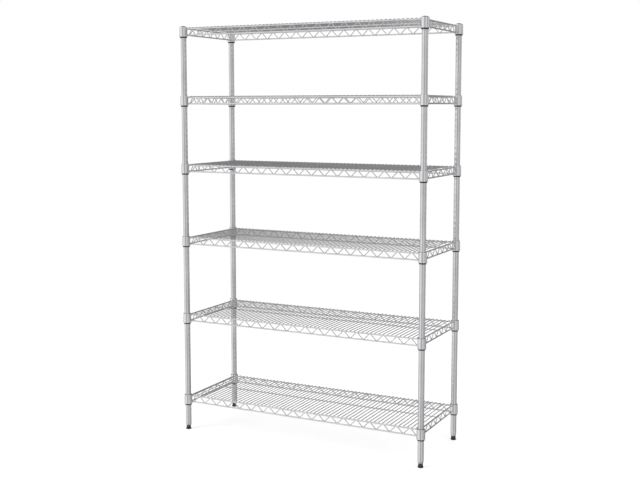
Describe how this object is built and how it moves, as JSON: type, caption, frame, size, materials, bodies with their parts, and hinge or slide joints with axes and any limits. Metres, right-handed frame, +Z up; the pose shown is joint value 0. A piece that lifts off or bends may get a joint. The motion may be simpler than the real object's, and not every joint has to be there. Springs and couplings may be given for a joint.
{
  "type": "wire shelving rack",
  "caption": "Free-standing chrome wire shelving rack: grooved round posts on levelling feet carry welded wire shelves wedged on tapered split sleeves.",
  "frame": {"origin": "on the floor, at the centre of the rack's footprint", "axes": "+X along the shelves to the right, +Y from the front to the back, +Z up along the posts"},
  "size_m": [1.187, 0.4408, 1.844],
  "materials": {
    "chrome_post": "polished",
    "chrome_wire": "polished",
    "chrome_collar": "polished",
    "black_plastic": "satin",
    "black_steel": "satin",
    "plated_steel": "satin"
  },
  "bodies": {
    "posts": {"lower_post_fl": "chrome_post", "lower_post_fr": "chrome_post", "lower_post_bl": "chrome_post", "lower_post_br": "chrome_post", "upper_post_fl": "chrome_post", "upper_post_fr": "chrome_post", "upper_post_bl": "chrome_post", "upper_post_br": "chrome_post", "post_joint_sockets": "plated_steel", "post_joint_studs": "plated_steel", "post_caps": "black_plastic", "foot_inserts": "plated_steel", "lower_sleeves_fl": "black_plastic", "lower_sleeves_fr": "black_plastic", "lower_sleeves_bl": "black_plastic", "lower_sleeves_br": "black_plastic", "upper_sleeves_fl": "black_plastic", "upper_sleeves_fr": "black_plastic", "upper_sleeves_bl": "black_plastic", "upper_sleeves_br": "black_plastic"},
    "shelf_1": {"shelf_1_collars": "chrome_collar", "shelf_1_frame": "chrome_wire", "shelf_1_trusses": "chrome_wire", "shelf_1_deck": "chrome_wire", "shelf_1_rail": "chrome_wire"},
    "shelf_2": {"shelf_2_collars": "chrome_collar", "shelf_2_frame": "chrome_wire", "shelf_2_trusses": "chrome_wire", "shelf_2_deck": "chrome_wire", "shelf_2_rail": "chrome_wire"},
    "shelf_3": {"shelf_3_collars": "chrome_collar", "shelf_3_frame": "chrome_wire", "shelf_3_trusses": "chrome_wire", "shelf_3_deck": "chrome_wire", "shelf_3_rail": "chrome_wire"},
    "shelf_4": {"shelf_4_collars": "chrome_collar", "shelf_4_frame": "chrome_wire", "shelf_4_trusses": "chrome_wire", "shelf_4_deck": "chrome_wire", "shelf_4_rail": "chrome_wire"},
    "shelf_5": {"shelf_5_collars": "chrome_collar", "shelf_5_frame": "chrome_wire", "shelf_5_trusses": "chrome_wire", "shelf_5_deck": "chrome_wire", "shelf_5_rail": "chrome_wire"},
    "shelf_6": {"shelf_6_collars": "chrome_collar", "shelf_6_frame": "chrome_wire", "shelf_6_trusses": "chrome_wire", "shelf_6_deck": "chrome_wire", "shelf_6_rail": "chrome_wire"},
    "foot_fl": {"foot_pad_fl": "black_plastic"},
    "screw_fl": {"foot_screw_fl": "black_steel"},
    "foot_fr": {"foot_pad_fr": "black_plastic"},
    "screw_fr": {"foot_screw_fr": "black_steel"},
    "foot_bl": {"foot_pad_bl": "black_plastic"},
    "screw_bl": {"foot_screw_bl": "black_steel"},
    "foot_br": {"foot_pad_br": "black_plastic"},
    "screw_br": {"foot_screw_br": "black_steel"}
  },
  "joints": [
    {"name": "shelf_1_lift", "type": "slide", "parent": "posts", "child": "shelf_1", "axis": [0, 0, 1], "range_m": [0, 0.3315]},
    {"name": "shelf_2_lift", "type": "slide", "parent": "posts", "child": "shelf_2", "axis": [0, 0, 1], "range_m": [0, 0.3061]},
    {"name": "shelf_3_lift", "type": "slide", "parent": "posts", "child": "shelf_3", "axis": [0, 0, 1], "range_m": [0, 0.2807]},
    {"name": "shelf_4_lift", "type": "slide", "parent": "posts", "child": "shelf_4", "axis": [0, 0, 1], "range_m": [0, 0.2553]},
    {"name": "shelf_5_lift", "type": "slide", "parent": "posts", "child": "shelf_5", "axis": [0, 0, 1], "range_m": [0, 0.2553]},
    {"name": "shelf_6_lift", "type": "slide", "parent": "posts", "child": "shelf_6", "axis": [0, 0, 1], "range_m": [0, 0.06]},
    {"name": "foot_fl_height", "type": "slide", "parent": "posts", "child": "foot_fl", "axis": [0, 0, -1], "range_m": [0, 0.02]},
    {"name": "foot_fl_turn", "type": "hinge", "parent": "foot_fl", "child": "screw_fl", "pos_m": [-0.575, -0.202, 0.01], "axis": [0, 0, -1], "range_deg": [0, 4800]},
    {"name": "foot_fr_height", "type": "slide", "parent": "posts", "child": "foot_fr", "axis": [0, 0, -1], "range_m": [0, 0.02]},
    {"name": "foot_fr_turn", "type": "hinge", "parent": "foot_fr", "child": "screw_fr", "pos_m": [0.575, -0.202, 0.01], "axis": [0, 0, -1], "range_deg": [0, 4800]},
    {"name": "foot_bl_height", "type": "slide", "parent": "posts", "child": "foot_bl", "axis": [0, 0, -1], "range_m": [0, 0.02]},
    {"name": "foot_bl_turn", "type": "hinge", "parent": "foot_bl", "child": "screw_bl", "pos_m": [-0.575, 0.202, 0.01], "axis": [0, 0, -1], "range_deg": [0, 4800]},
    {"name": "foot_br_height", "type": "slide", "parent": "posts", "child": "foot_br", "axis": [0, 0, -1], "range_m": [0, 0.02]},
    {"name": "foot_br_turn", "type": "hinge", "parent": "foot_br", "child": "screw_br", "pos_m": [0.575, 0.202, 0.01], "axis": [0, 0, -1], "range_deg": [0, 4800]}
  ],
  "couplings": [
    {"joint": "foot_fl_turn", "follows": "foot_fl_height", "rad_per_m": 4188.8},
    {"joint": "foot_fr_turn", "follows": "foot_fr_height", "rad_per_m": 4188.8},
    {"joint": "foot_bl_turn", "follows": "foot_bl_height", "rad_per_m": 4188.8},
    {"joint": "foot_br_turn", "follows": "foot_br_height", "rad_per_m": 4188.8}
  ]
}
